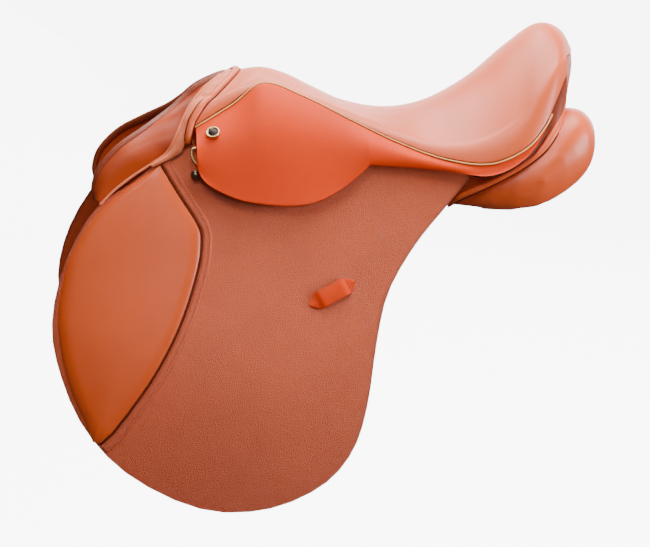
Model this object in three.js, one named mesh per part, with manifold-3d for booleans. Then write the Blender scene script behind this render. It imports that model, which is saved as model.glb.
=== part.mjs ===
// English close-contact saddle, as an assembly. Millimetres.
// -X is the pommel (horse's head), +X the cantle, -Y the near (left) side, +Z up.
// The origin lies on the centre plane, at the level of the panels' lowest bearing line.
import * as THREE from 'three';
import { mergeVertices } from 'three/addons/utils/BufferGeometryUtils.js';
import Module from 'manifold-3d';

const wasm = await Module();
wasm.setup();

// ---------------------------------------------------------------- driving sizes
const GAP = 0.3;                 // clearance between touching pieces
const COVER = 2.4;               // seat leather
const SKIRT = 3;                 // skirt leather
const FLAP = 4;                  // flap leather
const BILLET = 3.5;              // girth strap leather
const BILLET_WIDTH = 25;
const SWEAT = 3;                 // sweat flap leather
const WELT_R = 1.6;              // seat piping
const BINDING_R = 6.5;           // roll along the pommel
const FACING_R = 5.5;            // roll along the panels' front
const SKIRT_END = 0.83;          // where the skirt and its welt stop, along the seat
const SPLAY = 0.3;               // outward slope of everything that hangs on a side
const REF_X = -80;               // the side planes' distances are measured at this x and z
const REF_Z = 62;
const YAW = 0.05;                // flap side opens towards the rear
const SWEAT_YAW = -0.03;         // sweat flap side opens towards the front

// distances of each layer's outer face from the centre plane, at the reference point
const LAYER = {
  skirt: 101, kneePad: 89.3, flap: 85, guard: 79.6, middleBillet: 76.2,
  guardBand: 72.3, rearBillet: 69.5, frontBillet: 60.2, sweat: 54,
};

const FOLD_SKIRT_Z = 52;         // the skirt bends along this line
const FOLD_FLAP_Z = 2;           // the flap bends along this line
const BILLET_TOP_Z = 20;
const BILLET_END_Z = -262;
const BILLET_X = { front: -165, middle: -118, rear: -71 };

// centre line of the seat and its sewn edge, in matching stations from pommel to cantle
const SEAT_CENTRE = [
  [-176, 0, 154], [-150, 0, 156], [-122, 0, 148], [-90, 0, 132], [-50, 0, 114], [0, 0, 106],
  [50, 0, 115], [102, 0, 143], [147, 0, 180], [183, 0, 204], [210, 0, 198], [226, 0, 172],
];
const SEAT_EDGE = [
  [-236, -72, 97], [-196, -62, 119], [-154, -52, 143], [-108, -60, 128], [-54, -77, 102],
  [0, -95, 77], [50, -112, 60], [98, -122, 55], [138, -122, 70], [164, -112, 94],
  [182, -97, 121], [202, -74, 153],
];
// the shoulder between the seat's top and its side, in the same stations
const SEAT_SHOULDER = [
  [-211, -56, 126], [-180, -48, 139], [-144, -42, 145], [-103, -48, 130], [-53, -62, 109],
  [1, -82, 88], [50, -101, 75], [97, -107, 82], [135, -106, 104], [159, -99, 131],
  [185, -82, 160], [206, -58, 171],
];
const SHOULDER_V = 0.75;         // share of the way from centre to edge at the shoulder
// lower edge of the skirt where it is fixed: the fold line, then the narrow strip to the rear
const SKIRT_LOW = [
  [-235, -96, 53], [-196, -98, 53], [-156, -100, 53], [-108, -103, 53], [-54, -105, 53],
  [0, -109, 50], [50, -117, 45], [99, -128, 40], [137, -129, 53], [161, -121, 74],
  [176, -108, 98], [186, -96, 114],
];

const COLOURS = {
  seat: 0xd48a63, skirt: 0xc9562e, flap: 0xb4532f, pad: 0xd27a4a, panel: 0xc87548,
  strap: 0x9c4a2a, foam: 0xd9c9a0, wood: 0xb98a58, web: 0xcfc3a6, steel: 0xb8b8b8,
  brass: 0xc9a55a, welt: 0xe0a878,
};

// ---------------------------------------------------------------- helpers
const leather = (color) => new THREE.MeshStandardMaterial({ color, roughness: 0.55 });
const metal = (color) => new THREE.MeshStandardMaterial({ color, roughness: 0.3, metalness: 1 });
const MATERIALS = {
  seat: leather(COLOURS.seat),
  skirt: leather(COLOURS.skirt),
  flap: leather(COLOURS.flap),
  pad: leather(COLOURS.pad),
  panel: leather(COLOURS.panel),
  strap: leather(COLOURS.strap),
  welt: leather(COLOURS.welt),
  foam: new THREE.MeshStandardMaterial({ color: COLOURS.foam, roughness: 0.95 }),
  wood: new THREE.MeshStandardMaterial({ color: COLOURS.wood, roughness: 0.7 }),
  web: new THREE.MeshStandardMaterial({ color: COLOURS.web, roughness: 0.95 }),
  steel: metal(COLOURS.steel),
  brass: metal(COLOURS.brass),
};

function mesh(name, geometry, material) {
  const piece = new THREE.Mesh(geometry, MATERIALS[material]);
  piece.name = name;
  return piece;
}

function range(count, from = 0, to = 1) {
  return Array.from({ length: count }, (_, i) => from + ((to - from) * i) / (count - 1));
}

// a closed body from points and triangles, turned so that its faces point out
function closedBody(points, triangles) {
  let volume = 0;
  for (const [a, b, c] of triangles) {
    volume += points[a].dot(new THREE.Vector3().crossVectors(points[b], points[c]));
  }
  const faces = volume > 0 ? triangles : triangles.map(([a, b, c]) => [a, c, b]);
  const geometry = new THREE.BufferGeometry().setFromPoints(points);
  geometry.setIndex(faces.flat());
  return geometry;
}

// joins a grid of outer points to a grid of inner points, rim included
function shellBetween(outer, inner) {
  const rows = outer.length;
  const cols = outer[0].length;
  const points = [...outer.flat(), ...inner.flat()];
  const at = (layer, i, j) => layer * rows * cols + i * cols + j;
  const triangles = [];
  const quad = (a, b, c, d) => triangles.push([a, b, c], [a, c, d]);
  for (let i = 0; i < rows - 1; i++) {
    for (let j = 0; j < cols - 1; j++) {
      quad(at(0, i, j), at(0, i + 1, j), at(0, i + 1, j + 1), at(0, i, j + 1));
      quad(at(1, i, j), at(1, i, j + 1), at(1, i + 1, j + 1), at(1, i + 1, j));
    }
    quad(at(0, i + 1, 0), at(0, i, 0), at(1, i, 0), at(1, i + 1, 0));
    quad(at(0, i, cols - 1), at(0, i + 1, cols - 1), at(1, i + 1, cols - 1), at(1, i, cols - 1));
  }
  for (let j = 0; j < cols - 1; j++) {
    quad(at(0, 0, j), at(0, 0, j + 1), at(1, 0, j + 1), at(1, 0, j));
    quad(at(0, rows - 1, j + 1), at(0, rows - 1, j), at(1, rows - 1, j), at(1, rows - 1, j + 1));
  }
  return closedBody(points, triangles);
}

// moves a grid along its own surface normals; positive goes inwards
function offsetGrid(grid, depth) {
  const last = grid.length - 1;
  const end = grid[0].length - 1;
  return grid.map((row, i) => row.map((point, j) => {
    const along = grid[Math.min(i + 1, last)][j].clone().sub(grid[Math.max(i - 1, 0)][j]);
    const across = row[Math.min(j + 1, end)].clone().sub(row[Math.max(j - 1, 0)]);
    const normal = along.cross(across).normalize();
    return point.clone().addScaledVector(normal, -depth);
  }));
}

function sheet(grid, thickness) {
  return shellBetween(grid, offsetGrid(grid, thickness));
}

// skins closed rings of equal length one after another and closes both ends
function loft(rings) {
  const size = rings[0].length;
  const points = rings.flat();
  const triangles = [];
  for (let i = 0; i < rings.length - 1; i++) {
    for (let j = 0; j < size; j++) {
      const a = i * size + j;
      const b = i * size + ((j + 1) % size);
      triangles.push([a, b, b + size], [a, b + size, a + size]);
    }
  }
  for (const [ring, flip] of [[0, true], [rings.length - 1, false]]) {
    const middle = new THREE.Vector3();
    rings[ring].forEach((point) => middle.addScaledVector(point, 1 / size));
    points.push(middle);
    const hub = points.length - 1;
    for (let j = 0; j < size; j++) {
      const a = ring * size + j;
      const b = ring * size + ((j + 1) % size);
      triangles.push(flip ? [hub, b, a] : [hub, a, b]);
    }
  }
  return closedBody(points, triangles);
}

function curveOf(list, closed = false) {
  return new THREE.CatmullRomCurve3(list.map((p) => new THREE.Vector3(...p)), closed);
}

function toSolid(geometry) {
  const bare = new THREE.BufferGeometry();
  bare.setAttribute('position', geometry.getAttribute('position'));
  bare.setIndex(geometry.getIndex());
  const merged = mergeVertices(bare, 1e-4);
  const source = new wasm.Mesh({
    numProp: 3,
    vertProperties: new Float32Array(merged.getAttribute('position').array),
    triVerts: new Uint32Array(merged.getIndex().array),
  });
  return new wasm.Manifold(source);
}

function toGeometry(solid) {
  const result = solid.getMesh();
  const geometry = new THREE.BufferGeometry();
  geometry.setAttribute('position', new THREE.BufferAttribute(result.vertProperties, 3));
  geometry.setIndex(new THREE.BufferAttribute(result.triVerts, 1));
  return geometry;
}

function tube(curve, steps, radius, closed = false, sides = 4) {
  const section = new THREE.Shape();
  section.absarc(0, 0, radius, 0, Math.PI * 2);
  const options = { steps, extrudePath: curve, curveSegments: sides };
  return new THREE.ExtrudeGeometry(section, closed ? { ...options, bevelEnabled: false } : options);
}

// ---------------------------------------------------------------- side planes
// distance from the centre plane of a layer's face at x, z
function sideY(layer, x, z, yaw = YAW) {
  return layer + SPLAY * (REF_Z - z) + yaw * (x - REF_X);
}

// a flat leather piece in the left side plane, from an outline given as seen from the side
function sidePlate(shape, layer, thickness, yaw = YAW) {
  const geometry = new THREE.ExtrudeGeometry(shape, { depth: thickness, bevelEnabled: false });
  const position = geometry.getAttribute('position');
  for (let i = 0; i < position.count; i++) {
    const x = position.getX(i);
    const z = position.getY(i);
    position.setXYZ(i, x, -(sideY(layer, x, z, yaw) - position.getZ(i)), z);
  }
  // depth runs towards the horse, so the sides change hands
  const index = Array.from({ length: position.count }, (_, i) => i);
  for (let i = 0; i < index.length; i += 3) {
    [index[i + 1], index[i + 2]] = [index[i + 2], index[i + 1]];
  }
  geometry.setIndex(index);
  return geometry;
}

// a frame standing on a layer's outer face: X to the rear, Y up the flap, Z outwards
function sideFrame(layer, x, z, turn = 0) {
  const out = new THREE.Vector3(-YAW, -1, SPLAY).normalize();
  const rear = new THREE.Vector3(1, -YAW, 0).normalize();
  const up = new THREE.Vector3().crossVectors(out, rear);
  const matrix = new THREE.Matrix4().makeBasis(rear, up, out);
  matrix.multiply(new THREE.Matrix4().makeRotationZ(turn));
  matrix.setPosition(x, -sideY(layer, x, z), z);
  return matrix;
}

function smoothOutline(points, count) {
  const curve = new THREE.SplineCurve(points.map(([x, z]) => new THREE.Vector2(x, z)));
  return curve.getPoints(count);
}

// the part of a closed outline above (sign 1) or below (sign -1) a level
function clipOutline(points, level, sign) {
  const kept = [];
  points.forEach((p, i) => {
    const q = points[(i + 1) % points.length];
    const inP = sign * (p.y - level) >= 0;
    const inQ = sign * (q.y - level) >= 0;
    if (inP) kept.push(p);
    if (inP !== inQ) {
      const t = (level - p.y) / (q.y - p.y);
      kept.push(new THREE.Vector2(p.x + t * (q.x - p.x), level));
    }
  });
  return new THREE.Shape(kept);
}

// ---------------------------------------------------------------- seat and tree
const seatCentre = curveOf(SEAT_CENTRE);
const seatEdge = curveOf(SEAT_EDGE);
const seatShoulder = curveOf(SEAT_SHOULDER);

// point of the seat's top: u from pommel to cantle, v from the left edge (-1) to the right (1)
function seatPoint(u, v) {
  const shoulder = seatShoulder.getPoint(u);
  const reach = Math.abs(v);
  const point = new THREE.Vector3();
  if (reach <= SHOULDER_V) {
    const share = reach / SHOULDER_V;
    const fall = share ** 1.8;
    point.copy(seatCentre.getPoint(u)).lerp(shoulder, fall);
    point.y = shoulder.y * share;
  } else {
    const edge = seatEdge.getPoint(u);
    const share = (reach - SHOULDER_V) / (1 - SHOULDER_V);
    const turn = (share * Math.PI) / 2;
    point.copy(shoulder).lerp(edge, share);
    point.y = shoulder.y + (edge.y - shoulder.y) * (0.45 * share + 0.55 * Math.sin(turn));
    point.z = shoulder.z + (edge.z - shoulder.z) * (0.45 * share + 0.55 * (1 - Math.cos(turn)));
  }
  point.y *= -Math.sign(v);
  return point;
}

// the point at a depth straight under the seat's top
function underSeat(u, v, depth) {
  const step = 0.01;
  const along = seatPoint(Math.min(u + step, 1), v).sub(seatPoint(Math.max(u - step, 0), v));
  const across = seatPoint(u, Math.min(v + step, 1)).sub(seatPoint(u, Math.max(v - step, -1)));
  return seatPoint(u, v).addScaledVector(along.cross(across).normalize(), -depth);
}

// a layer under the seat's top, between two depths
function seatLayer({ from = 0, to = 1, reach = 1, top, thickness, rows = 18, cols = 11 }) {
  const grid = (depth) => range(rows, from, to).map((u) => range(cols, -reach, reach)
    .map((v) => underSeat(u, v, depth)));
  return shellBetween(grid(top), grid(top + thickness));
}

function buildTree() {
  const plate = toSolid(seatLayer({ from: 0.06, to: 0.95, reach: 0.72, top: 26.4, thickness: 10 }));
  const opening = new THREE.Shape();
  opening.absellipse(15, 0, 125, 42, 0, Math.PI * 2);
  const cutter = new THREE.ExtrudeGeometry(opening, { depth: 300, bevelEnabled: false });
  return toGeometry(plate.subtract(toSolid(cutter)));
}

// the roll that runs along the seat's front edge, over the head and down both sides
function pommelBinding() {
  const path = range(13, -0.97, 0.97).map((v) => {
    const point = seatPoint(0, v);
    const along = seatPoint(0.02, v).sub(point);
    const across = seatPoint(0, v + 0.01).sub(seatPoint(0, v - 0.01));
    const normal = along.clone().cross(across);
    const ahead = normal.cross(across).normalize();
    return point.addScaledVector(ahead, BINDING_R + 2.5);
  });
  return tube(new THREE.CatmullRomCurve3(path), 30, BINDING_R, false, 5);
}

// the rolled front edge of the panels, an arch over the withers from one panel's tip to the other's
const FACING_ROLL = [
  [-350, -76, 16], [-351, -77, 30], [-343, -76, 51], [-320, -69, 74], [-291, -52, 91],
  [-261, -24, 108], [-243, -13, 121], [-228, -10, 133],
];

function facingRoll() {
  const far = FACING_ROLL.map(([x, y, z]) => [x, -y, z]).reverse();
  const path = curveOf([...FACING_ROLL, [-203, 0, 143], ...far]);
  return tube(path, 48, FACING_R, false, 4);
}

// ---------------------------------------------------------------- skirt and welt
const skirtLow = curveOf(SKIRT_LOW);

// a point past the seat's left sewn edge, square to it, where the seat's surface would go on
function beyondEdge(u, distance) {
  const along = seatEdge.getTangent(u);
  const onward = seatPoint(u, -1).sub(seatPoint(u, -0.92));
  onward.addScaledVector(along, -onward.dot(along)).normalize();
  return seatEdge.getPoint(u).addScaledVector(onward, distance);
}

function skirtPoint(u, w) {
  const low = skirtLow.getPoint(u);
  const high = beyondEdge(u, 2 * WELT_R + 2.2);
  const bulge = 13 * Math.sin(Math.PI * w) * Math.max(0, 1 - u / 0.6) ** 0.5;
  const point = low.lerp(high, w);
  point.y -= bulge;
  return point;
}

function skirtTop() {
  const grid = range(31, 0, SKIRT_END).map((u) => range(5, 0, 1).map((w) => skirtPoint(u, w)));
  return sheet(grid, SKIRT);
}

function seatWelt() {
  const path = range(41, 0, SKIRT_END).map((u) => beyondEdge(u, WELT_R + 1));
  return tube(new THREE.CatmullRomCurve3(path), 44, WELT_R, false, 3);
}

const SKIRT_LOBE = [
  [-235, FOLD_SKIRT_Z - GAP], [-227, 37], [-209, 25], [-179, 14], [-131, 9], [-97, 14],
  [-68, 29], [-50, 42], [-38, FOLD_SKIRT_Z - GAP],
];

function skirtLobe() {
  return sidePlate(new THREE.Shape(smoothOutline(SKIRT_LOBE, 28)), LAYER.skirt, SKIRT);
}

// ---------------------------------------------------------------- flap and its fittings
const FLAP_FRONT = [
  [-241, 74], [-272, 60], [-310, 33], [-350, 7], [-386, -51], [-403, -115], [-396, -170],
  [-370, -231], [-321, -282], [-244, -319], [-171, -322], [-108, -300], [-70, -264], [-50, -214],
  [-36, -145], [-20, -91], [13, -40], [50, 1], [84, 38],
];
const KNEE_PAD = [
  [-276, 53], [-257, 20], [-236, -14], [-233, -32], [-238, -62], [-256, -112], [-278, -154],
  [-307, -196], [-354, -247], [-370, -221], [-387, -178], [-396, -118], [-387, -64], [-375, -36],
  [-351, -2], [-317, 27], [-276, 53],
];

function flapOutline() {
  return [...smoothOutline(FLAP_FRONT, 50), new THREE.Vector2(68, 45),
    new THREE.Vector2(0, 60), new THREE.Vector2(-100, 74)];
}

function flapPart(sign) {
  const shape = clipOutline(flapOutline(), FOLD_FLAP_Z + sign * GAP / 2, sign);
  return sidePlate(shape, LAYER.flap, FLAP);
}

function kneePadPart(sign) {
  const outline = smoothOutline(KNEE_PAD, 48).slice(0, -1);
  const shape = clipOutline(outline, FOLD_FLAP_Z + sign * GAP / 2, sign);
  return sidePlate(shape, LAYER.kneePad, LAYER.kneePad - LAYER.flap - GAP);
}

// a strap sewn down at both ends, with room under its middle for a surcingle
function flapKeeper() {
  const side = [
    [-28, 0], [-16, 0], [-12, 2.4], [12, 2.4], [16, 0], [28, 0], [28, 2.4], [19, 2.8],
    [14, 5], [-14, 5], [-19, 2.8], [-28, 2.4],
  ];
  const shape = new THREE.Shape(side.map(([x, y]) => new THREE.Vector2(x, y)));
  const geometry = new THREE.ExtrudeGeometry(shape, { depth: 19, bevelEnabled: false });
  geometry.translate(0, 0, -9.5);
  geometry.rotateX(Math.PI / 2);
  geometry.applyMatrix4(sideFrame(LAYER.flap + GAP, -85, -91, 0.44));
  return geometry;
}

const SWEAT_OUTLINE = [
  [-244, 52], [-290, 26], [-340, -16], [-378, -75], [-388, -125], [-374, -185], [-332, -248],
  [-275, -288], [-200, -304], [-130, -292], [-85, -250], [-62, -190], [-50, -120], [-38, -40],
  [-30, 40],
];

function sweatFlap() {
  const shape = new THREE.Shape(smoothOutline(SWEAT_OUTLINE, 40));
  return sidePlate(shape, LAYER.sweat, SWEAT, SWEAT_YAW);
}

// the leather pocket that holds the tree's point against the sweat flap
function pointPocket() {
  const pocket = [[-212, 36], [-212, -8], [-204, -20], [-190, -20], [-182, -8], [-182, 36]];
  const shape = new THREE.Shape(pocket.map(([x, z]) => new THREE.Vector2(x, z)));
  return sidePlate(shape, LAYER.sweat + GAP + 2.5, 2.5, SWEAT_YAW);
}

// ---------------------------------------------------------------- girth straps
function billet(x, layer, yaw = YAW) {
  const half = BILLET_WIDTH / 2;
  const shape = new THREE.Shape();
  shape.moveTo(x - half, BILLET_TOP_Z);
  shape.lineTo(x - half, BILLET_END_Z + 14);
  shape.lineTo(x - 4, BILLET_END_Z);
  shape.lineTo(x + 4, BILLET_END_Z);
  shape.lineTo(x + half, BILLET_END_Z + 14);
  shape.lineTo(x + half, BILLET_TOP_Z);
  for (let hole = 0; hole < 8; hole++) {
    const punched = new THREE.Path();
    punched.absarc(x, BILLET_END_Z + 34 + 22 * hole, 2.6, 0, Math.PI * 2);
    shape.holes.push(new THREE.Path(punched.getPoints(5).slice(0, -1)));
  }
  return sidePlate(shape, layer, BILLET, yaw);
}

// a patch over the girth buckles, with a band behind that holds it to the middle strap
function buckleGuard() {
  const x = BILLET_X.middle;
  const patch = [[-38, -64], [-30, -132], [30, -132], [38, -64], [30, -54], [-30, -54]];
  const patchShape = new THREE.Shape(patch.map(([dx, z]) => new THREE.Vector2(x + dx, z)));
  const plate = toSolid(sidePlate(patchShape, LAYER.guard, 3));
  const inside = BILLET_WIDTH / 2 + 0.8;
  const bar = (fromX, toX, layer, depth) => {
    const shape = new THREE.Shape([
      new THREE.Vector2(fromX, -104), new THREE.Vector2(toX, -104),
      new THREE.Vector2(toX, -82), new THREE.Vector2(fromX, -82),
    ]);
    return toSolid(sidePlate(shape, layer, depth));
  };
  const wall = LAYER.guard - 2 - (LAYER.guardBand - 2);
  const left = bar(x - inside - 3, x - inside, LAYER.guard - 2, wall);
  const right = bar(x + inside, x + inside + 3, LAYER.guard - 2, wall);
  const band = bar(x - inside - 3, x + inside + 3, LAYER.guardBand, 2);
  return toGeometry(plate.add(left).add(right).add(band));
}

// ---------------------------------------------------------------- metal fittings
const BAR = { front: -192, rear: -114, inner: -62, plate: 4, finger: 6, out: -85, low: 78, high: 88 };
const CATCH = { x: -119, z: 83, thick: 2.6, slot: 3.4, reach: 10 };
const BAR_MID_Y = BAR.out + BAR.finger / 2;

function extrudeUp(points, low, high) {
  const shape = new THREE.Shape(points.map(([x, y]) => new THREE.Vector2(x, y)));
  const geometry = new THREE.ExtrudeGeometry(shape, { depth: high - low, bevelEnabled: false });
  geometry.translate(0, 0, low);
  return geometry;
}

// a cylinder along Y
function crossPin(x, z, radius, yFrom, yTo) {
  const geometry = new THREE.CylinderGeometry(radius, radius, yTo - yFrom, 16);
  geometry.translate(x, (yFrom + yTo) / 2, z);
  return geometry;
}

function stirrupBar() {
  const { front, rear, inner, plate, finger, out, low, high } = BAR;
  const body = toSolid(extrudeUp([
    [front + 8, inner], [rear - 8, inner], [rear - 8, inner - plate], [front + 20, inner - plate],
    [front + 13, inner - plate - 5], [front + 13, out + finger + 4], [front + 17, out + finger],
    [rear, out + finger], [rear, out], [front + 12, out], [front + 3, out + 6],
    [front, out + 14], [front, inner - 8],
  ], low, high));
  const half = CATCH.slot / 2;
  const fork = toSolid(extrudeUp([
    [CATCH.x - 6, BAR_MID_Y - half], [rear + 5, BAR_MID_Y - half],
    [rear + 5, BAR_MID_Y + half], [CATCH.x - 6, BAR_MID_Y + half],
  ], low - 5, high + 5));
  const bore = toSolid(crossPin(CATCH.x, CATCH.z, 1.8, out - 5, out + finger + 5));
  return toGeometry(body.subtract(fork).subtract(bore));
}

function barCatch() {
  const shape = new THREE.Shape();
  shape.absarc(0, 0, 4, Math.PI, Math.PI * 2);
  shape.lineTo(2.5, CATCH.reach);
  shape.absarc(0, CATCH.reach, 2.5, 0, Math.PI);
  shape.lineTo(-4, 0);
  const hole = new THREE.Path();
  hole.absarc(0, 0, 1.8, 0, Math.PI * 2);
  shape.holes.push(hole);
  const geometry = new THREE.ExtrudeGeometry(shape, {
    depth: CATCH.thick, bevelEnabled: false, curveSegments: 6,
  });
  geometry.translate(0, 0, -CATCH.thick / 2);
  geometry.rotateZ(0.16);
  geometry.rotateX(Math.PI / 2);
  geometry.translate(CATCH.x, BAR_MID_Y, CATCH.z);
  return geometry;
}

const DEE = { x: -228, z: 72, width: 24, drop: 20, wire: 1.6, layer: 90 };

function deeFrame() {
  return sideFrame(DEE.layer, DEE.x, DEE.z);
}

function deeRing() {
  const half = DEE.width / 2;
  const points = [[-half, -4], [-half + 1, -0.8], [-half + 4, 0], [0, 0], [half - 4, 0],
    [half - 1, -0.8], [half, -4], [half - 1, -11], [half - 5, -17], [0, -DEE.drop],
    [5 - half, -17], [1 - half, -11]];
  const path = curveOf(points.map(([x, y]) => [x, y, 0]), true);
  const geometry = tube(path, 28, DEE.wire, true);
  return geometry.applyMatrix4(deeFrame());
}

function deeStaple() {
  const reach = DEE.layer - LAYER.flap;
  const shape = new THREE.Shape();
  shape.moveTo(-(reach - 0.8), -3.2);
  shape.lineTo(0, -3.2);
  shape.absarc(0, 0, 3.2, -Math.PI / 2, Math.PI / 2);
  shape.lineTo(-(reach - 0.8), 8);
  const hole = new THREE.Path();
  hole.absarc(0, 0, 2.1, 0, Math.PI * 2);
  shape.holes.push(hole);
  const geometry = new THREE.ExtrudeGeometry(shape, {
    depth: 9, bevelEnabled: false, curveSegments: 8,
  });
  geometry.translate(0, 0, -4.5);
  geometry.rotateY(Math.PI / 2);
  geometry.rotateX(Math.PI / 2);
  return geometry.applyMatrix4(deeFrame());
}

function turned(profile, matrix, segments = 14) {
  const geometry = new THREE.LatheGeometry(profile.map(([r, h]) => new THREE.Vector2(r, h)), segments);
  geometry.rotateX(Math.PI / 2);
  return geometry.applyMatrix4(matrix);
}

function ballStud() {
  const profile = [
    [0, 0], [2.6, 0], [2.6, 1.2], [4.9, 2.4], [5.9, 5.4], [4.9, 8.4], [2.8, 10.3], [0, 10.9],
  ];
  return turned(profile, sideFrame(LAYER.flap + GAP, -236, 41));
}

// the nail's head lies on the skirt near its front edge
const NAIL = { u: 0.042, w: 0.74 };

function headNail() {
  const profile = [[0, 0], [7.8, 0], [8, 1], [7, 2], [5.6, 1.6], [0, 2.2]];
  const base = skirtPoint(NAIL.u, NAIL.w);
  const rise = skirtPoint(NAIL.u, NAIL.w + 0.1).sub(skirtPoint(NAIL.u, NAIL.w - 0.1));
  const along = skirtPoint(NAIL.u + 0.02, NAIL.w).sub(skirtPoint(NAIL.u - 0.02, NAIL.w)).normalize();
  const out = new THREE.Vector3().crossVectors(along, rise).normalize();
  const up = new THREE.Vector3().crossVectors(out, along);
  const matrix = new THREE.Matrix4().makeBasis(along, up, out);
  matrix.setPosition(base.addScaledVector(out, 0.9));
  return turned(profile, matrix);
}

// ---------------------------------------------------------------- panel
// Sections across one panel, as [distance from centre, height], from the lower gullet edge
// out along the horse's side, up the outer face and back over the top
const PANEL_SECTIONS = [
  [-336, [60, 20], [64, 5], [72, -30], [82, -30], [74, 0], [70, 18], [76, 27], [68, 31]],
  [-310, [52, 58], [58, -5], [93, -112], [101, -104], [70, 0], [64, 34], [75, 54], [66, 65]],
  [-268, [35, 82], [52, -5], [102, -165], [114, -156], [67, 0], [57, 52], [60, 80], [47, 92]],
  [-238, [28, 98], [48, -5], [102, -170], [114, -160], [66, 0], [55, 52], [50, 96], [37, 108]],
  [-200, [24, 84], [46, -5], [94, -138], [106, -128], [69, 0], [54, 50], [44, 82], [32, 92]],
  [-150, [24, 58], [44, -8], [80, -88], [90, -78], [67, 0], [55, 40], [45, 62], [32, 70]],
  [-90, [24, 42], [42, -5], [70, -58], [79, -48], [65, 0], [54, 34], [46, 52], [30, 56]],
  [-30, [26, 32], [42, 5], [60, -20], [66, -12], [59, 10], [53, 32], [46, 46], [31, 50]],
  [20, [28, 26], [48, 10], [70, -4], [78, 3], [77, 14], [68, 34], [52, 46], [32, 50]],
  [60, [30, 24], [58, 7], [83, -4], [92, 6], [90, 22], [80, 36], [60, 48], [34, 50]],
  [110, [31, 24], [68, 6], [104, -6], [117, 6], [118, 28], [106, 38], [72, 52], [36, 52]],
  [160, [31, 34], [70, 12], [108, -3], [126, 16], [130, 48], [114, 66], [74, 80], [36, 76]],
  [200, [30, 52], [64, 26], [100, 14], [119, 38], [120, 80], [99, 106], [66, 114], [36, 100]],
  [225, [32, 66], [60, 42], [90, 33], [107, 50], [107, 86], [89, 106], [60, 108], [38, 92]],
  [236, [48, 68], [64, 54], [82, 50], [92, 60], [92, 80], [81, 93], [62, 93], [50, 82]],
];

function panel() {
  const lines = range(8, 1, 8).map((point) => curveOf(PANEL_SECTIONS.map((section) => [
    section[0], -section[point][0], section[point][1],
  ])));
  const rings = range(25).map((t) => {
    const corners = lines.map((line) => line.getPoint(t));
    return new THREE.CatmullRomCurve3(corners, true).getPoints(16).slice(0, -1);
  });
  return loft(rings);
}

// ---------------------------------------------------------------- assembly
function addSide(group, side) {
  const add = (name, geometry, material) => group.add(mesh(`${side}_${name}`, geometry, material));
  add('skirt_top', skirtTop(), 'skirt');
  add('skirt', skirtLobe(), 'skirt');
  add('seat_welt', seatWelt(), 'welt');
  add('flap_head', flapPart(1), 'flap');
  add('flap', flapPart(-1), 'flap');
  add('knee_pad_top', kneePadPart(1), 'pad');
  add('knee_pad', kneePadPart(-1), 'pad');
  add('flap_keeper', flapKeeper(), 'skirt');
  add('sweat_flap', sweatFlap(), 'strap');
  add('point_pocket', pointPocket(), 'strap');
  add('panel', panel(), 'panel');
  add('front_billet', billet(BILLET_X.front, LAYER.frontBillet, SWEAT_YAW), 'strap');
  add('middle_billet', billet(BILLET_X.middle, LAYER.middleBillet), 'strap');
  add('rear_billet', billet(BILLET_X.rear, LAYER.rearBillet), 'strap');
  add('buckle_guard', buckleGuard(), 'strap');
  add('stirrup_bar', stirrupBar(), 'steel');
  add('bar_catch', barCatch(), 'steel');
  add('bar_hinge_pin', crossPin(CATCH.x, CATCH.z, 1.5, BAR.out - 0.8, BAR.out + BAR.finger + 0.8),
    'steel');
  add('dee', deeRing(), 'brass');
  add('dee_staple', deeStaple(), 'brass');
  add('ball_stud', ballStud(), 'brass');
  add('head_nail', headNail(), 'brass');
}

const saddle = new THREE.Group();
saddle.add(mesh('seat_cover', seatLayer({ top: 0, thickness: COVER, rows: 36, cols: 13 }), 'seat'));
saddle.add(mesh('seat_foam', seatLayer({
  from: 0.02, to: 0.97, reach: 0.82, top: COVER + 1.4, thickness: 15.6,
}), 'foam'));
saddle.add(mesh('seat_webbing', seatLayer({
  from: 0.06, to: 0.84, reach: 0.3, top: 22, thickness: 1.2, rows: 14, cols: 5,
}), 'web'));
saddle.add(mesh('tree', buildTree(), 'wood'));
saddle.add(mesh('head_plate', seatLayer({
  from: 0.08, to: 0.18, reach: 0.66, top: 38.6, thickness: 2.5, rows: 5,
}), 'steel'));
for (const [name, from] of [['front_girth_web', 0.23], ['rear_girth_web', 0.35]]) {
  saddle.add(mesh(name, seatLayer({
    from, to: from + 0.09, reach: 0.7, top: 23.6, thickness: 1.2, rows: 4, cols: 11,
  }), 'web'));
}
saddle.add(mesh('pommel_binding', pommelBinding(), 'seat'));
saddle.add(mesh('facing_roll', facingRoll(), 'panel'));

const near = new THREE.Group();
addSide(near, 'left');
const far = new THREE.Group();
far.scale.y = -1;
addSide(far, 'right');
saddle.add(near, far);

export default saddle;
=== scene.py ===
"""English saddle: the visible leather, padding and fittings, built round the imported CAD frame."""
import math

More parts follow.
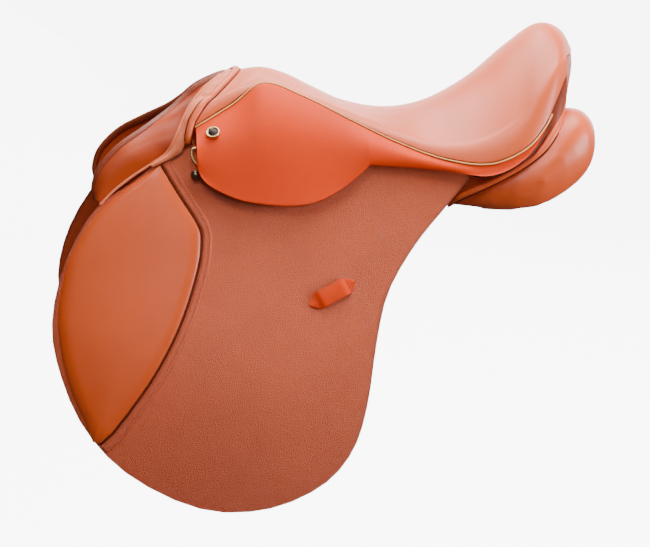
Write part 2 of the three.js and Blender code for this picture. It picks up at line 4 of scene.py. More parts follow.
import bmesh
import bpy
import numpy as np
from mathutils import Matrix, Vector


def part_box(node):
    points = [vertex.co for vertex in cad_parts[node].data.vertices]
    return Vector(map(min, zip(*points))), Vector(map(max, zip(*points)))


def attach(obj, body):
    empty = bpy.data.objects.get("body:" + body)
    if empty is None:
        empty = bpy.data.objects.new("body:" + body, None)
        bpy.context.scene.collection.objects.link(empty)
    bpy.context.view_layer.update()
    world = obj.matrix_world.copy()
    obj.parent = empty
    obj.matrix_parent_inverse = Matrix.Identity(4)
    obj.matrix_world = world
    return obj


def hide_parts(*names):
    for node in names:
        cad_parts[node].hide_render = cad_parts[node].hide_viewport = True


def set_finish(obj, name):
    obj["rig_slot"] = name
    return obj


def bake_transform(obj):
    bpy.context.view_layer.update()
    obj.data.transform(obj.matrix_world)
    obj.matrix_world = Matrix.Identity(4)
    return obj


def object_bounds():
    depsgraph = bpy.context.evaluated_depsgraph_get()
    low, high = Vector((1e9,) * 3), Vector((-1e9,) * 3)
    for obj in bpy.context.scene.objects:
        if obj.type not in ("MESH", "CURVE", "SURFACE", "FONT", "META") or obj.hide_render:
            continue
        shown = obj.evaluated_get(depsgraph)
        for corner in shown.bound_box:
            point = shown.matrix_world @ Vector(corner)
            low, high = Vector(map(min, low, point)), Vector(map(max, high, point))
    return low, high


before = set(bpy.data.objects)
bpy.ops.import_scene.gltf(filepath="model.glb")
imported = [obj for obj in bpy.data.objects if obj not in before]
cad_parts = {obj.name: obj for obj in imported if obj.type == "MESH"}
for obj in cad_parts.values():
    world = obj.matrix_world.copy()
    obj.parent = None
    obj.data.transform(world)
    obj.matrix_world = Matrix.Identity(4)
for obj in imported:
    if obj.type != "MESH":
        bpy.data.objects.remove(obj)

CAD_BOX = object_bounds()
MM = 0.001

# ------------------------------------------------------------------ driving sizes, in mm,
# with slopes and shares of a line as plain numbers
SPLAY = 0.3             # outward slope of everything that hangs on a side
YAW = 0.05              # how much the sides open towards the rear
REF_X, REF_Z = -80, 62  # where a side layer's distance is measured
FLAP_OUT, FLAP_THICK = 85, 4
SKIRT_OUT, SKIRT_THICK = 101, 3
FLAP_FOLD, SKIRT_FOLD = 2, 52   # heights of the two folds
FLAP_MIDDLE, BOW, BOW_DROP = -215, 7, 180
# painted shade down the flaps and pads: where it starts, how far down it deepens, and its most
PAINTED_SHADE_TOP, PAINTED_SHADE_DROP, PAINTED_SHADE_MOST = -120, 190, 0.45
KEEPER_X, KEEPER_Z, KEEPER_TURN = -85, -91, 0.44
KEEPER_HALF, KEEPER_SEWN = 29, 21.5
DEE_X, DEE_Z, DEE_OUT = -228, 72, 90
WELT_R = 1.6            # the gap between seat and skirt is two of these
PIPING_R = 0.95
SEAT_THICK = 2.4
SEAT_END = 0.985        # where the seat's grid stops and its rear rim starts to roll under
SHOULDER_V = 0.75       # the seat's shoulder, as a share of the way from its middle to its edge
SKIRT_TIP = 0.855       # where the skirt strip runs out under the cantle
TAPER_FROM = 0.62       # where it starts to narrow
SKIRT_SWELL, SWELL_END, SKIRT_PASSES = 13, 0.6, 220
RIM_R, RIM_TURN = 4.0, 100
PAD_ROLL, PAD_ROLL_RISE = 15, 4.4
PAD_CROWN, PAD_CROWN_RISE = 60, 2.4
SIM_FRAMES = 20

# the seat's lines in matching stations from pommel to cantle, and the skirt's lower edge
SEAT_CENTRE = [
    (-176, 0, 154), (-150, 0, 156), (-122, 0, 148), (-90, 0, 132), (-50, 0, 114), (0, 0, 106),
    (50, 0, 115), (102, 0, 143), (147, 0, 180), (183, 0, 204), (210, 0, 198), (226, 0, 172)]
SEAT_EDGE = [
    (-236, -72, 97), (-196, -62, 119), (-154, -52, 143), (-108, -60, 128), (-54, -77, 102),
    (0, -95, 77), (50, -112, 60), (98, -122, 55), (138, -122, 70), (164, -112, 94),
    (182, -97, 121), (202, -74, 153)]
SEAT_SHOULDER = [
    (-211, -56, 126), (-180, -48, 139), (-144, -42, 145), (-103, -48, 130), (-53, -62, 109),
    (1, -82, 88), (50, -101, 75), (97, -107, 82), (135, -106, 104), (159, -99, 131),
    (185, -82, 160), (206, -58, 171)]
SKIRT_LOW = [
    (-235, -96, 53), (-196, -98, 53), (-156, -100, 53), (-108, -103, 53), (-54, -105, 53),
    (0, -109, 50), (50, -117, 45), (99, -128, 40), (137, -129, 53), (161, -121, 74),
    (176, -108, 98), (186, -96, 114)]

# the rolled front edge of the near panel from its tip to the head
FACING_ROLL = [
    (-350, -76, 16), (-351, -77, 30), (-343, -76, 51), (-320, -69, 74), (-291, -52, 91),
    (-261, -24, 108), (-243, -13, 121), (-228, -10, 133), (-210, -6, 142), (-197, 0, 147)]
# the flap's bound top edge, which runs on up beside the pommel band to the head
FLAP_BINDING = [
    (-345, 11), (-328, 27), (-307, 42), (-287, 54), (-270, 65)]
HEAD_BINDING = [
    (-261, -75, 77), (-255, -71, 89), (-248, -61, 103), (-238, -49, 119), (-223, -36, 135),
    (-206, -18, 146), (-198, 0, 149)]

# ------------------------------------------------------------------ camera, lights, floor
CAMERA_AZIMUTH, CAMERA_ELEVATION, CAMERA_DISTANCE = -8, 13, 1.9
CAMERA_TARGET = Vector((-0.075, 0, -0.098))
CAMERA_LENS = 85.6
AMBIENT, BACKDROP_GLOW = 0.13, 7
BACKDROP_REACH = 40
FLOOR_DROP = 0.35       # the floor lies this far below the saddle


def aim(obj, place, target):
    obj.location = place
    obj.rotation_mode = "QUATERNION"
    obj.rotation_quaternion = (target - place).to_track_quat("-Z", "Y")


def camera():
    data = bpy.data.cameras.new("camera")
    data.lens = CAMERA_LENS
    obj = bpy.data.objects.new("camera", data)
    bpy.context.collection.objects.link(obj)
    a, e = math.radians(CAMERA_AZIMUTH), math.radians(CAMERA_ELEVATION)
    back = Vector((math.sin(a) * math.cos(e), -math.cos(a) * math.cos(e), math.sin(e)))
    aim(obj, CAMERA_TARGET + back * CAMERA_DISTANCE, CAMERA_TARGET)
    bpy.context.scene.camera = obj


def softbox(name, place, size, power, target=Vector((-0.08, 0, -0.05))):
    data = bpy.data.lights.new(name, "AREA")
    data.shape = "RECTANGLE"
    data.size, data.size_y = size
    data.energy = power
    obj = bpy.data.objects.new(name, data)
    bpy.context.collection.objects.link(obj)
    aim(obj, Vector(place), target)


def studio():
    """Soft lights over, before, beside and behind the saddle, in a pale world.

    A softbox has its place and size in metres, and its power in watts.
    """
    world = bpy.data.worlds.new("studio")
    bpy.context.scene.world = world
    world.use_nodes = True
    background = world.node_tree.nodes["Background"]
    background.inputs["Color"].default_value = (1, 1, 1, 1)
    seen = world.node_tree.nodes.new("ShaderNodeLightPath").outputs["Is Camera Ray"]
    strength = world.node_tree.nodes.new("ShaderNodeMapRange")
    strength.inputs["To Min"].default_value = AMBIENT
    strength.inputs["To Max"].default_value = BACKDROP_GLOW
    world.node_tree.links.new(seen, strength.inputs["Value"])
    world.node_tree.links.new(strength.outputs["Result"], background.inputs["Strength"])
    softbox("overhead", (0.05, 0.1, 1.1), (1.3, 0.9), 42)
    softbox("key", (-0.45, -1.15, 1.3), (0.6, 0.6), 12)
    softbox("front", (-0.14, -1.75, 0.66), (0.35, 0.35), 3.2)
    softbox("rear", (1.6, -0.75, 0.2), (0.6, 0.9), 36, target=Vector((0.2, -0.08, 0.06)))
    softbox("back", (0.8, 2.2, 0.8), (4.5, 1.8), 95)


def backdrop():
    """A pale floor that curves up behind the saddle; it glows only to the camera."""
    material = bpy.data.materials.new("floor")
    material.use_nodes = True
    shader = material.node_tree.nodes["Principled BSDF"]
    shader.inputs["Base Color"].default_value = (0.93, 0.93, 0.93, 1)
    shader.inputs["Roughness"].default_value = 0.9
    shader.inputs["Emission Color"].default_value = (1, 1, 1, 1)
    shader.inputs["Emission Strength"].default_value = BACKDROP_GLOW
    low = CAD_BOX[0].z - FLOOR_DROP
    bend = [(-BACKDROP_REACH, low), (2.0, low), (2.6, low + 0.1), (2.95, low + 0.35),
            (3.1, low + 0.9), (3.1, 6)]
    verts = [(x, y, z) for y, z in bend for x in (-BACKDROP_REACH, BACKDROP_REACH)]
    faces = [(2 * k, 2 * k + 1, 2 * k + 3, 2 * k + 2) for k in range(len(bend) - 1)]
    data = bpy.data.meshes.new("floor")
    data.from_pydata(verts, [], faces)
    data.materials.append(material)
    floor = bpy.data.objects.new("floor", data)
    bpy.context.collection.objects.link(floor)
    floor.visible_diffuse = floor.visible_glossy = False


# ------------------------------------------------------------------ materials
class Nodes:
    """A small writer for shader node trees."""

    def __init__(self, name):
        self.material = bpy.data.materials.new(name)
        self.material.use_nodes = True
        self.tree = self.material.node_tree
        self.shader = self.tree.nodes["Principled BSDF"]
        place = self.tree.nodes.new("ShaderNodeTexCoord")
        self.place = place.outputs["Object"]

    def link(self, out, to):
        self.tree.links.new(out, to)
        return self

    def noise(self, scale, detail=3.0, rough=0.5, stretch=None):
        node = self.tree.nodes.new("ShaderNodeTexNoise")
        node.inputs["Scale"].default_value = scale
        node.inputs["Detail"].default_value = detail
        node.inputs["Roughness"].default_value = rough
        self.link(self.stretched(stretch), node.inputs["Vector"])
        return node.outputs["Fac"]

    def cells(self, scale):
        node = self.tree.nodes.new("ShaderNodeTexVoronoi")
        node.feature = "DISTANCE_TO_EDGE"
        node.inputs["Scale"].default_value = scale
        self.link(self.place, node.inputs["Vector"])
        return node.outputs["Distance"]

    def stretched(self, stretch):
        if stretch is None:
            return self.place
        node = self.tree.nodes.new("ShaderNodeMapping")
        node.inputs["Scale"].default_value = stretch
        self.link(self.place, node.inputs["Vector"])
        return node.outputs["Vector"]

    def ramp(self, value, stops):
        node = self.tree.nodes.new("ShaderNodeValToRGB")
        node.color_ramp.elements[0].position, node.color_ramp.elements[0].color = stops[0]
        node.color_ramp.elements[1].position, node.color_ramp.elements[1].color = stops[-1]
        for position, colour in stops[1:-1]:
            node.color_ramp.elements.new(position).color = colour
        self.link(value, node.inputs["Fac"])
        return node.outputs["Color"]

    def remap(self, value, low, high, from_low=0.0, from_high=1.0):
        node = self.tree.nodes.new("ShaderNodeMapRange")
        node.inputs["From Min"].default_value = from_low
        node.inputs["From Max"].default_value = from_high
        node.inputs["To Min"].default_value = low
        node.inputs["To Max"].default_value = high
        self.link(value, node.inputs["Value"])
        return node.outputs["Result"]

    def mix(self, kind, factor, a, b):
        node = self.tree.nodes.new("ShaderNodeMix")
        node.data_type = "RGBA"
        node.blend_type = kind
        if isinstance(factor, float):
            node.inputs["Factor"].default_value = factor
        else:
            self.link(factor, node.inputs["Factor"])
        for value, socket in ((a, node.inputs["A"]), (b, node.inputs["B"])):
            if isinstance(value, tuple):
                socket.default_value = value
            else:
                self.link(value, socket)
        return node.outputs["Result"]

    def add(self, a, b, share=1.0):
        node = self.tree.nodes.new("ShaderNodeMath")
        node.operation = "MULTIPLY_ADD"
        self.link(b, node.inputs[0])
        node.inputs[1].default_value = share
        self.link(a, node.inputs[2])
        return node.outputs["Value"]

    def attribute(self, name):
        node = self.tree.nodes.new("ShaderNodeAttribute")
        node.attribute_name = name
        return node.outputs["Fac"]

    def bump(self, height, strength, distance):
        node = self.tree.nodes.new("ShaderNodeBump")
        node.inputs["Strength"].default_value = strength
        node.inputs["Distance"].default_value = distance
        self.link(height, node.inputs["Height"])
        self.link(node.outputs["Normal"], self.shader.inputs["Normal"])

    def set(self, **values):
        for name, value in values.items():
            self.shader.inputs[name.replace("_", " ")].default_value = value


def shade(colour, by):
    return tuple(min(1.0, c * by) for c in colour) + (1.0,)


def leather(name, colour, grain, depth, roughness, coat=0.1, coat_rough=0.35, gloss=0.25):
    """Tanned hide: cloudy dye, pores, creased grain, a waxed finish, and darkening from the rim
    attribute: worn edges, and painted shade.
    """
    n = Nodes(name)
    cloud = n.noise(7, 4, 0.55)
    dye = n.ramp(cloud, [(0.3, shade(colour, 0.86)), (0.52, shade(colour, 1.0)),
                         (0.72, shade(colour, 1.1))])
    fleck = n.ramp(n.noise(grain * 1.7, 2, 0.6), [(0.35, (0.82, 0.78, 0.76, 1)), (0.6, (1, 1, 1, 1))])
    body = n.mix("MULTIPLY", 0.5, dye, fleck)
    # the rim attribute darkens the hide: worn edges along the flap's sides, painted shade in recesses
    # and down the flaps and pads
    wear_and_shade = n.attribute("rim")
    dark = n.mix("MIX", wear_and_shade, body, shade(colour, 0.22))
    n.link(dark, n.shader.inputs["Base Color"])
    pebble = n.remap(n.cells(grain), 0, 1, 0.0, 0.22)
    crease = n.noise(grain * 0.22, 4, 0.6)
    height = n.add(pebble, crease, 0.8)
    n.bump(n.add(height, n.noise(grain * 3.1, 2, 0.5), 0.25), depth, 0.0006)
    rough = n.remap(n.noise(grain * 0.12, 3), roughness - 0.05, roughness + 0.07, 0.3, 0.7)
    n.link(rough, n.shader.inputs["Roughness"])
    n.set(Coat_Weight=coat, Coat_Roughness=coat_rough)
    n.shader.inputs["Specular IOR Level"].default_value = gloss
    return n.material


def cut_edge(name, colour):
    """The burnished, dyed edge of a cut strap."""
    n = Nodes(name)
    layers = n.noise(900, 2, 0.5, stretch=(0.15, 0.15, 1))
    n.link(n.ramp(layers, [(0.35, shade(colour, 0.55)), (0.7, shade(colour, 1.2))]),
           n.shader.inputs["Base Color"])
    n.bump(layers, 0.3, 0.0003)
    n.link(n.remap(layers, 0.45, 0.65), n.shader.inputs["Roughness"])
    n.shader.inputs["Specular IOR Level"].default_value = 0.15
    return n.material


def metal(name, colour, roughness, tarnish):
    n = Nodes(name)
    grime = n.noise(160, 4, 0.6)
    n.link(n.ramp(grime, [(0.3, shade(colour, tarnish)), (0.62, shade(colour, 1.0))]),
           n.shader.inputs["Base Color"])
    n.link(n.remap(grime, roughness + 0.18, roughness, 0.3, 0.7), n.shader.inputs["Roughness"])
    n.bump(n.noise(1400, 2, 0.5, stretch=(1, 0.1, 1)), 0.15, 0.0002)
    n.set(Metallic=1.0)
    return n.material


def cloth(name, colour, weave):
    n = Nodes(name)
    warp = n.tree.nodes.new("ShaderNodeTexWave")
    warp.inputs["Scale"].default_value = weave
    warp.bands_direction = "X"
    weft = n.tree.nodes.new("ShaderNodeTexWave")
    weft.inputs["Scale"].default_value = weave
    weft.bands_direction = "Y"
    n.link(n.place, warp.inputs["Vector"]).link(n.place, weft.inputs["Vector"])
    height = n.add(warp.outputs["Fac"], weft.outputs["Fac"], 1.0)
    n.link(n.ramp(n.noise(60, 4, 0.6), [(0.3, shade(colour, 0.75)), (0.7, shade(colour, 1.05))]),
           n.shader.inputs["Base Color"])
    n.bump(height, 0.5, 0.0004)
    n.set(Roughness=0.9, Sheen_Weight=0.3)
    return n.material


def felt(name, colour):
    n = Nodes(name)
    fibres = n.noise(700, 5, 0.75)
    n.link(n.ramp(fibres, [(0.3, shade(colour, 0.7)), (0.7, shade(colour, 1.05))]),
           n.shader.inputs["Base Color"])
    n.bump(fibres, 0.8, 0.001)
    n.set(Roughness=0.95, Sheen_Weight=0.4)
    return n.material


def beech(name, colour):
    n = Nodes(name)
    rings = n.noise(55, 5, 0.6, stretch=(0.12, 1.0, 1.6))
    n.link(n.ramp(rings, [(0.3, shade(colour, 0.62)), (0.55, shade(colour, 1.0)),
                          (0.8, shade(colour, 1.15))]), n.shader.inputs["Base Color"])
    n.bump(rings, 0.25, 0.0005)
    n.set(Roughness=0.42, Coat_Weight=0.5, Coat_Roughness=0.15)
    return n.material


def make_materials():
    """Leathers, cloths, wood and metals by the names that the pieces use.

    A leather's numbers are grain, depth, roughness, coat, coat roughness and gloss.
    """
    return {
        "seat": leather("seat_calf", (0.78, 0.112, 0.024), 900, 0.10, 0.40, 0.24, 0.36, 0.3),
        "skirt": leather("skirt_leather", (0.80, 0.052, 0.002), 760, 0.08, 0.50, 0.02, 0.4, 0.12),
        "flap": leather("flap_grain", (0.64, 0.086, 0.016), 620, 0.55, 0.44, 0.14, 0.36, 0.45),
        "pad": leather("knee_calf", (0.70, 0.086, 0.010), 900, 0.10, 0.38, 0.16, 0.28, 0.35),
        "panel": leather("panel_calf", (0.80, 0.105, 0.020), 820, 0.14, 0.40, 0.26, 0.30, 0.35),
        "facing": leather("facing_calf", (0.44, 0.052, 0.009), 820, 0.12, 0.42, 0.10, 0.34, 0.2),
        # the band's leather is a paler copy of the flap's: a painted sheen
        "band": leather("pommel_grain_painted_sheen", (0.90, 0.200, 0.080), 560, 0.6, 0.45, 0.12, 0.36, 0.3),
        "roll": leather("roll_calf", (0.24, 0.038, 0.012), 700, 0.3, 0.42, 0.10, 0.32, 0.25),
        "strap": leather("strap_leather", (0.30, 0.05, 0.014), 700, 0.25, 0.48),
        # the piping's pale colour is a painted highlight
        "welt": leather("piping_painted_highlight", (0.95, 0.42, 0.14), 900, 0.12, 0.42),
        "edge": cut_edge("burnished_edge", (0.10, 0.022, 0.010)),
        "dark": cut_edge("crease_shadow", (0.09, 0.018, 0.008)),
        "thread": felt("stitching_thread", (0.26, 0.022, 0.008)),
        "foam": felt("wool_and_foam", (0.72, 0.63, 0.42)),
        "web": cloth("linen_web", (0.62, 0.54, 0.40), 900),
        "wood": beech("laminated_beech", (0.52, 0.31, 0.15)),
        "steel": metal("forged_steel", (0.62, 0.62, 0.62), 0.28, 0.55),
        "brass": metal("polished_brass", (0.80, 0.58, 0.26), 0.18, 0.6),
        "gunmetal": metal("dark_bronze", (0.20, 0.14, 0.08), 0.22, 0.5),
        "nail": metal("dark_nail", (0.03, 0.022, 0.02), 0.3, 0.6),
    }


M = make_materials()
# the record's slot for each finish that has no slot of its own name
SLOTS = {"roll": "panel", "facing": "panel", "band": "flap", "edge": "strap", "dark": "strap",
         "thread": "web", "nail": "steel", "gunmetal": "brass"}


# ------------------------------------------------------------------ mesh tools
def spline(points, samples):
    """Catmull-Rom curve through points, sampled evenly in index; samples may be an array in 0..1."""
    p = np.array(points, float)
    t = np.asarray(samples, float) * (len(p) - 1)
    i = np.clip(t.astype(int), 0, len(p) - 2)
    f = (t - i)[:, None]
    before = p[np.clip(i - 1, 0, None)]
    before = np.where((i == 0)[:, None], 2 * p[i] - p[i + 1], before)
    after = p[np.clip(i + 2, None, len(p) - 1)]
    after = np.where((i == len(p) - 2)[:, None], 2 * p[i + 1] - p[i], after)
    a, b = p[i], p[i + 1]
    return 0.5 * (2 * a + (b - before) * f + (2 * before - 5 * a + 4 * b - after) * f ** 2
                  + (3 * a - before - 3 * b + after) * f ** 3)


def even(points, count):
    """The same line, resampled to count points spaced evenly along it."""
    p = np.asarray(points, float)
    step = np.r_[0, np.cumsum(np.linalg.norm(np.diff(p, axis=0), axis=1))]
    at = np.linspace(0, step[-1], count)
    return np.stack([np.interp(at, step, p[:, k]) for k in range(3)], 1)


def length(points):
    return np.linalg.norm(np.diff(points, axis=0), axis=1).sum()


def mesh(name, verts, faces, materials, indices=None, rim=None):
    data = bpy.data.meshes.new(name)
    data.from_pydata([tuple(v * MM) for v in verts], [], [tuple(f) for f in faces])
    for key in materials:
        data.materials.append(M[key])
    if indices is not None:
        data.polygons.foreach_set("material_index", np.asarray(indices, np.int32))
    data.polygons.foreach_set("use_smooth", np.ones(len(data.polygons), bool))
    # the rim attribute darkens the leather: worn edges on some pieces, painted shade on others
    layer = data.attributes.new("rim", "FLOAT", "POINT")
    if rim is not None:
        layer.data.foreach_set("value", np.asarray(rim, np.float32))
    data.update()
    obj = bpy.data.objects.new(name, data)
    bpy.context.collection.objects.link(obj)
    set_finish(obj, SLOTS.get(materials[0], materials[0]))
    return obj


def grid_faces(rows, cols, offset=0, wrap=False):
    i, j = np.meshgrid(np.arange(rows - 1), np.arange(cols if wrap else cols - 1), indexing="ij")
    a = offset + i * cols + j
    b = offset + i * cols + (j + 1) % cols
    return np.stack([a, b, b + cols, a + cols], -1).reshape(-1, 4)


def normals_of(grid):
    along = np.gradient(grid, axis=0)
    across = np.gradient(grid, axis=1)
    n = np.cross(along, across)
    return n / np.maximum(np.linalg.norm(n, axis=-1, keepdims=True), 1e-9)


def outward(obj):
    """Turns every face of a closed mesh to point out."""
    work = bmesh.new()
    work.from_mesh(obj.data)
    bmesh.ops.recalc_face_normals(work, faces=work.faces)
    work.to_mesh(obj.data)
    work.free()
    return obj


def settle(obj):
    """Makes an object's modifiers part of its mesh."""
    graph = bpy.context.evaluated_depsgraph_get()
    data = bpy.data.meshes.new_from_object(obj.evaluated_get(graph))
    obj.modifiers.clear()
    obj.data = data


def sheet(name, grid, thickness, materials, bevel=0.8, rim=None):
    """A piece of leather with real thickness: the outer face is the grid, the rim is rounded."""
    rows, cols = grid.shape[:2]
    inner = grid - normals_of(grid) * thickness
    count = rows * cols
    faces = [grid_faces(rows, cols), grid_faces(rows, cols, count)[:, ::-1]]
    kinds = [np.zeros(len(faces[0])), np.zeros(len(faces[1]))]
    top, bottom = np.arange(cols), np.arange(cols) + (rows - 1) * cols
    first, last = np.arange(rows) * cols, np.arange(rows) * cols + cols - 1
    for line, turn in ((top, 1), (bottom, -1), (first, -1), (last, 1)):
        quads = np.stack([line[:-1], line[:-1] + count, line[1:] + count, line[1:]], -1)
        faces.append(quads[:, ::turn])
        kinds.append(np.ones(len(quads)))
    verts = np.vstack([grid.reshape(-1, 3), inner.reshape(-1, 3)])
    indices = np.concatenate(kinds).astype(int) if len(materials) > 1 else None
    # rim marks darken the leather: worn edges on some pieces, painted shade on others
    marks = None if rim is None else np.concatenate([rim.ravel(), rim.ravel()])
    obj = outward(mesh(name, verts, np.vstack(faces), materials, indices, marks))
    if bevel:
        cut = obj.modifiers.new("bevel", "BEVEL")
        cut.width = bevel * MM
        cut.segments = 2
        cut.limit_method = "ANGLE"
        cut.angle_limit = math.radians(50)
        cut.harden_normals = False
        settle(obj)
    return obj


def frames_along(path):
    """Two directions square to a path at every point, without twist."""
    tangent = np.gradient(path, axis=0)
    tangent /= np.maximum(np.linalg.norm(tangent, axis=1, keepdims=True), 1e-9)
    side = np.cross(tangent[0], (0.13, 0.21, 1.0))
    sides = []
    for t in tangent:
        side = side - t * (side @ t)
        side /= np.linalg.norm(side)
        sides.append(side)
    sides = np.array(sides)
    return sides, np.cross(tangent, sides)


def tube(name, path, radius, material, sides=10, round_ends=True):
    """A round cord or roll along a path, with domed ends."""
    path = np.asarray(path, float)
    radii = np.full(len(path), float(radius)) if np.isscalar(radius) else np.asarray(radius, float)
    a, b = frames_along(path)
    turn = np.linspace(0, 2 * np.pi, sides, endpoint=False)
    ring = (np.cos(turn)[None, :, None] * a[:, None, :]
            + np.sin(turn)[None, :, None] * b[:, None, :])
    rings = path[:, None, :] + ring * radii[:, None, None]
    verts = rings.reshape(-1, 3)
    faces = grid_faces(len(path), sides, wrap=True).tolist()
    caps = []
    for end, step in ((0, -1), (len(path) - 1, 1)):
        direction = path[end] - path[end - step]
        direction /= max(np.linalg.norm(direction), 1e-9)
        tip = path[end] + direction * radii[end] * (0.6 if round_ends else 0.0)
        bulge = direction * radii[end] * (0.42 if round_ends else 0)
        middle = rings[end] * 0.6 + path[end] * 0.4 + bulge
        base = len(verts) + sum(len(c) for c in caps)
        caps.append(np.vstack([middle, tip[None]]))
        for j in range(sides):
            k = (j + 1) % sides
            o = end * sides
            if step > 0:
                faces.append([o + j, o + k, base + k, base + j])
                faces.append([base + j, base + k, base + sides])
            else:
                faces.append([o + k, o + j, base + j, base + k])
                faces.append([base + k, base + j, base + sides])
    obj = mesh(name, np.vstack([verts, *caps]), faces, [material])
    return outward(obj)


def stitches(name, path, out, spacing, size, r=0.35):
    """A row of short sewn threads along a path, each lying on a surface that faces out."""
    path = even(path, max(4, int(length(path) / spacing)))
    out = np.tile(out, (len(path), 1))
    along = np.gradient(path, axis=0)
    along /= np.linalg.norm(along, axis=1, keepdims=True)
    across = np.cross(out, along)
    across /= np.linalg.norm(across, axis=1, keepdims=True)
    lift = np.cross(along, across)
    lift *= np.sign((lift * out).sum(1, keepdims=True))
    turn = np.linspace(0, 2 * np.pi, 6, endpoint=False)
    shape = []
    for t, s in ((-0.5, 0.35), (-0.25, 1.0), (0.25, 1.0), (0.5, 0.35)):
        for w in turn:
            shape.append((t * size, math.cos(w) * r * s, math.sin(w) * r * s))
    shape = np.array(shape)
    verts = (path[:, None] + shape[None, :, :1] * along[:, None] + shape[None, :, 1:2] * across[:, None]
             + (shape[None, :, 2:] + r * 0.3) * lift[:, None]).reshape(-1, 3)
    single = grid_faces(4, 6, wrap=True).tolist() + [list(range(5, -1, -1)), list(range(18, 24))]
    faces = [[v + 24 * k for v in f] for k in range(len(path)) for f in single]
    return mesh(name, verts, faces, ["thread"])


def mirrored(obj, name):
    """The off side's copy of a near-side piece."""
    data = obj.data.copy()
    count = len(data.vertices)
    co = np.empty(count * 3, np.float32)
    data.vertices.foreach_get("co", co)
    co = co.reshape(-1, 3)
    co[:, 1] *= -1
    data.vertices.foreach_set("co", co.ravel())
    data.flip_normals()
    twin = bpy.data.objects.new(name, data)
    bpy.context.collection.objects.link(twin)
    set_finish(twin, obj["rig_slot"])
    return twin


def place(obj, body=None, bend=None, instead=(), fill=None):
    """Puts a near-side piece and its mirror twin on their bodies; given a bend, it only bakes both
    where they stand.
    """
    twin = mirrored(obj, obj.name.replace("left", "right", 1))
    for piece, side in ((obj, "left"), (twin, "right")):
        if bend:
            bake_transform(piece)
        else:
            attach(piece, body.replace("left", side))
        if instead:
            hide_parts(*[n.replace("left", side) for n in instead])


# zones about the two folds, from a start above each fold to an end below it; place() only bakes a piece
# given one where it stands
FLAP_BEND = ("flap", (0, 0, (FLAP_FOLD + 20) * MM), (0, 0, (FLAP_FOLD - 20) * MM))
SKIRT_BEND = ("skirt", (0, 0, (SKIRT_FOLD + 12) * MM), (0, 0, (SKIRT_FOLD - 12) * MM))


# ------------------------------------------------------------------ surfaces
def side_y(layer, x, z):
    """The y of a near-side layer's plane at x and z."""
    return -(layer + SPLAY * (REF_Z - z) + YAW * (x - REF_X))


SIDE_OUT = np.array([-YAW, -1, SPLAY]) / math.sqrt(1 + YAW ** 2 + SPLAY ** 2)


def seat_grid(us, vs):
    """The seat's top: a dished saddle surface with a soft shoulder and a rolled side."""
    c, s, e = (spline(line, us)[:, None] for line in (SEAT_CENTRE, SEAT_SHOULDER, SEAT_EDGE))
    reach = np.abs(vs)[None, :, None]
    inner = np.clip(reach / SHOULDER_V, 0, 1)
    top = c + (s - c) * inner ** 1.8
    top[..., 1:2] = s[..., 1:2] * inner
    share = np.clip((reach - SHOULDER_V) / (1 - SHOULDER_V), 0, 1)
    turn = share * np.pi / 2
    side = s + (e - s) * share
    side[..., 1:2] = s[..., 1:2] + (e - s)[..., 1:2] * (0.45 * share + 0.55 * np.sin(turn))
    side[..., 2:] = s[..., 2:] + (e - s)[..., 2:] * (0.45 * share + 0.55 * (1 - np.cos(turn)))
    grid = np.where(reach <= SHOULDER_V, top, side)
    grid[..., 1] *= -np.sign(vs)[None, :]
    return grid


def edge_line(us, beyond=0.0, lift=0.0):
    """The seat's left sewn edge, moved on past the edge and out from the surface."""
    grid = seat_grid(us, np.array([-1.0, -0.92]))
    edge = grid[:, 0]
    along = np.gradient(edge, axis=0)
    along /= np.linalg.norm(along, axis=1, keepdims=True)
    onward = grid[:, 0] - grid[:, 1]
    onward -= along * (onward * along).sum(1, keepdims=True)
    onward /= np.linalg.norm(onward, axis=1, keepdims=True)
    out = np.cross(along, onward)
    out *= np.sign(-out[:, 1:2])
    return edge + onward * beyond + out * lift, onward, out


def corners(node):
    """A CAD node's vertices, in mm."""
    return np.array([v.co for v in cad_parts[node].data.vertices]) / MM


def extents(nodes, levels):
    """The front and rear ends of flat CAD pieces at each height, in mm."""
    spans = []
    for z in levels:
        hits = []
        for name in nodes:
            co = corners(name)
            ends = np.array([e.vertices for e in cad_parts[name].data.edges])
            a, b = co[ends[:, 0]], co[ends[:, 1]]
            cross = (a[:, 2] - z) * (b[:, 2] - z) <= 0
            a, b = a[cross], b[cross]
            rise = b[:, 2] - a[:, 2]
            flat = np.abs(rise) < 1e-6
            t = np.where(flat, 0, (z - a[:, 2]) / np.where(flat, 1, rise))
            hits.extend((a[:, 0] + t * (b[:, 0] - a[:, 0])).tolist())
        spans.append((min(hits), max(hits)) if hits else (np.nan, np.nan))
    spans = np.array(spans)
    good = ~np.isnan(spans[:, 0])
    order = np.argsort(levels)
    for k in (0, 1):
        spans[:, k] = np.interp(levels, np.array(levels)[order][good[order]],
                                spans[order, k][good[order]])
    return spans


def flap_bow(x, z):
    """How far the flap's outer face stands off its flat plane."""
    low = np.clip((FLAP_FOLD - 30 - z) / BOW_DROP, 0, 1)
    low = low * low * (3 - 2 * low)
    across = 1 - ((x - FLAP_MIDDLE) / FLAP_MIDDLE) ** 2
    return BOW * low * np.clip(across, -0.6, 1)


def on_flap(x, z, off=0.0):
    """Points that stand off the near flap's outer face."""
    x, z = np.asarray(x, float), np.asarray(z, float)
    y = side_y(FLAP_OUT, x, z) - flap_bow(x, z)
    return np.stack([x, y, z], -1) + SIDE_OUT * np.asarray(off, float)[..., None]


def painted_low_shade(z):
    """How much painted shade darkens the lower part of a flap, where less light reaches it."""
    return PAINTED_SHADE_MOST * np.clip((PAINTED_SHADE_TOP - z) / PAINTED_SHADE_DROP, 0, 1)


# ------------------------------------------------------------------ seat
def softened(directions, passes):
    """Unit directions evened out along a line."""
    d = directions / np.linalg.norm(directions, axis=1, keepdims=True)
    for _ in range(passes):
        d[1:-1] = (d[:-2] + 2 * d[1:-1] + d[2:]) / 4
    return d / np.linalg.norm(d, axis=1, keepdims=True)


